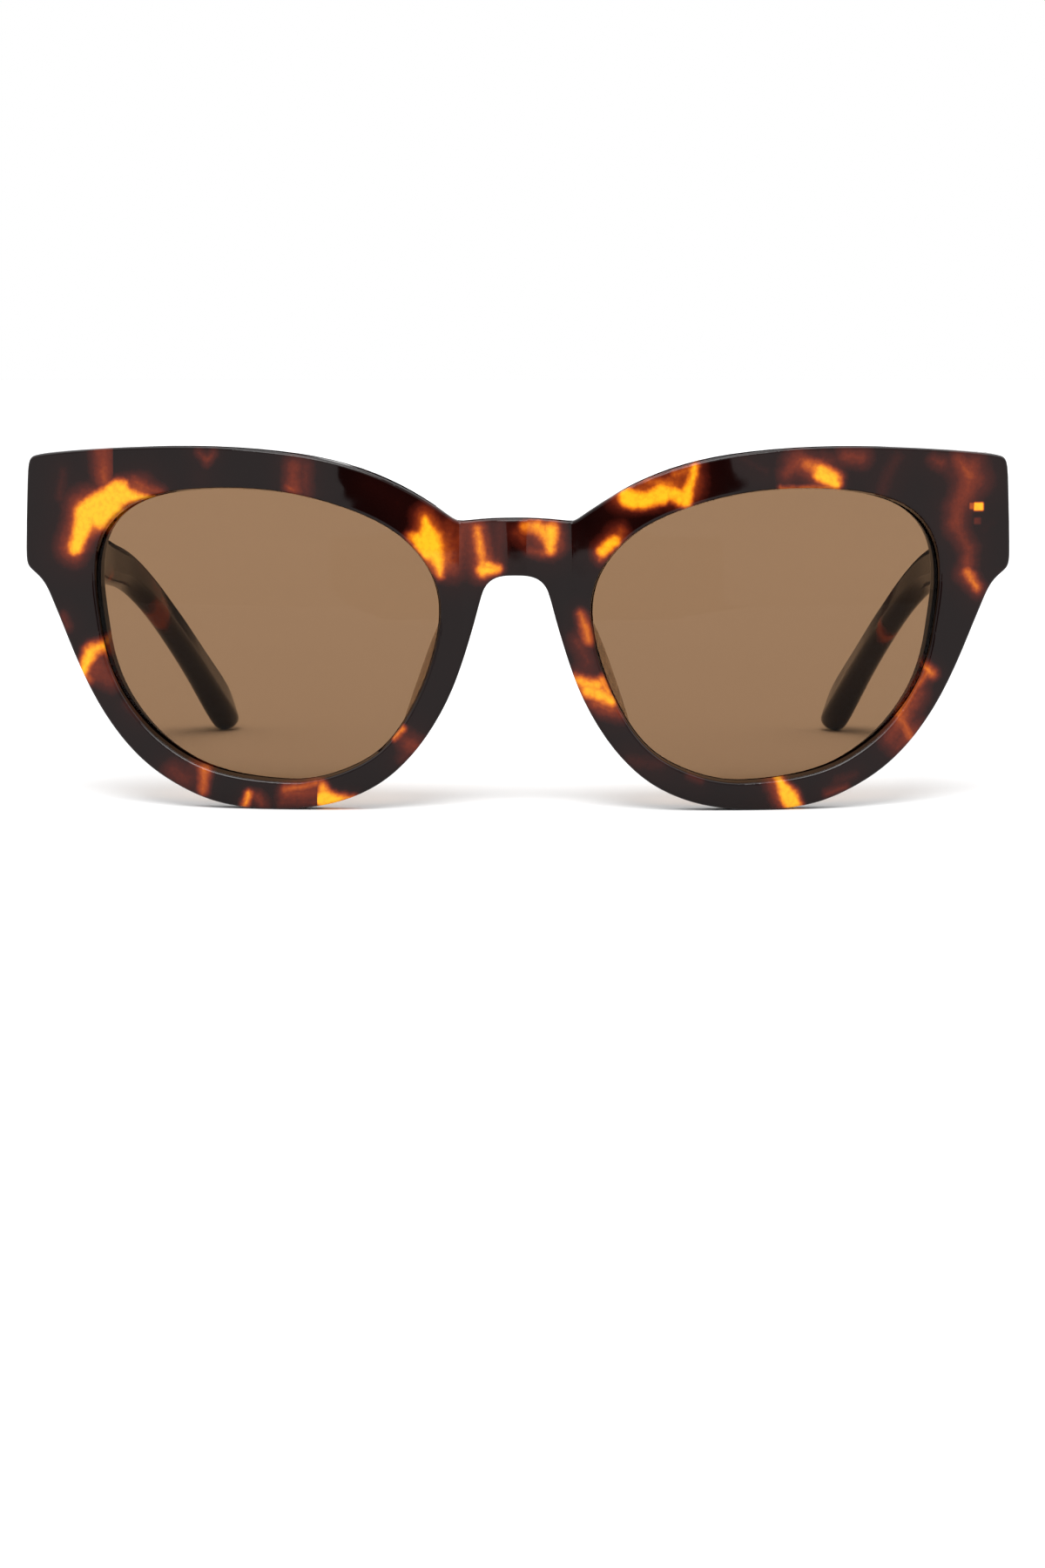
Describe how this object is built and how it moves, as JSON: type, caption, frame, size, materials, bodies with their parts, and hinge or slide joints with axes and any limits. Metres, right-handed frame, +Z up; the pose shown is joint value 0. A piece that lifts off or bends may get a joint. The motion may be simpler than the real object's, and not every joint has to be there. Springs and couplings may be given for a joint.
{
  "type": "cat eye sunglasses",
  "caption": "Cat eye sunglasses with a tortoise acetate front, brown spherical lenses, clear nose pads and folding acetate temples on barrel hinges.",
  "frame": {"origin": "middle of the footprint on the surface the open sunglasses stand on", "axes": "+Z up, the wearer looks along -Y, the wearer's left is +X; the temples run along +Y"},
  "size_m": [0.1448, 0.1408, 0.0527],
  "materials": {
    "acetate": "polished tortoiseshell acetate, near black brown with amber and red marks",
    "lens": "smooth brown tinted",
    "pad": "polished translucent acetate",
    "wire": "drawn wire",
    "hinge_metal": "gold plated, satin",
    "screw_metal": "satin"
  },
  "bodies": {
    "front": {"frame_front": "acetate", "lens_left": "lens", "lens_right": "lens", "nose_pad_left": "pad", "nose_pad_right": "pad", "hinge_front_left": "hinge_metal", "hinge_front_right": "hinge_metal", "hinge_screw_left": "screw_metal", "hinge_screw_right": "screw_metal"},
    "arm_left": {"temple_left": "acetate", "core_wire_left": "wire", "hinge_temple_left": "hinge_metal"},
    "arm_right": {"temple_right": "acetate", "core_wire_right": "wire", "hinge_temple_right": "hinge_metal"}
  },
  "joints": [
    {"name": "fold_left", "type": "hinge", "parent": "front", "child": "arm_left", "pos_m": [0.0657, -0.04655, 0.044], "axis": [0, 0, 1], "range_deg": [0, 88]},
    {"name": "fold_right", "type": "hinge", "parent": "front", "child": "arm_right", "pos_m": [-0.0657, -0.04655, 0.044], "axis": [0, 0, -1], "range_deg": [0, 82]}
  ]
}
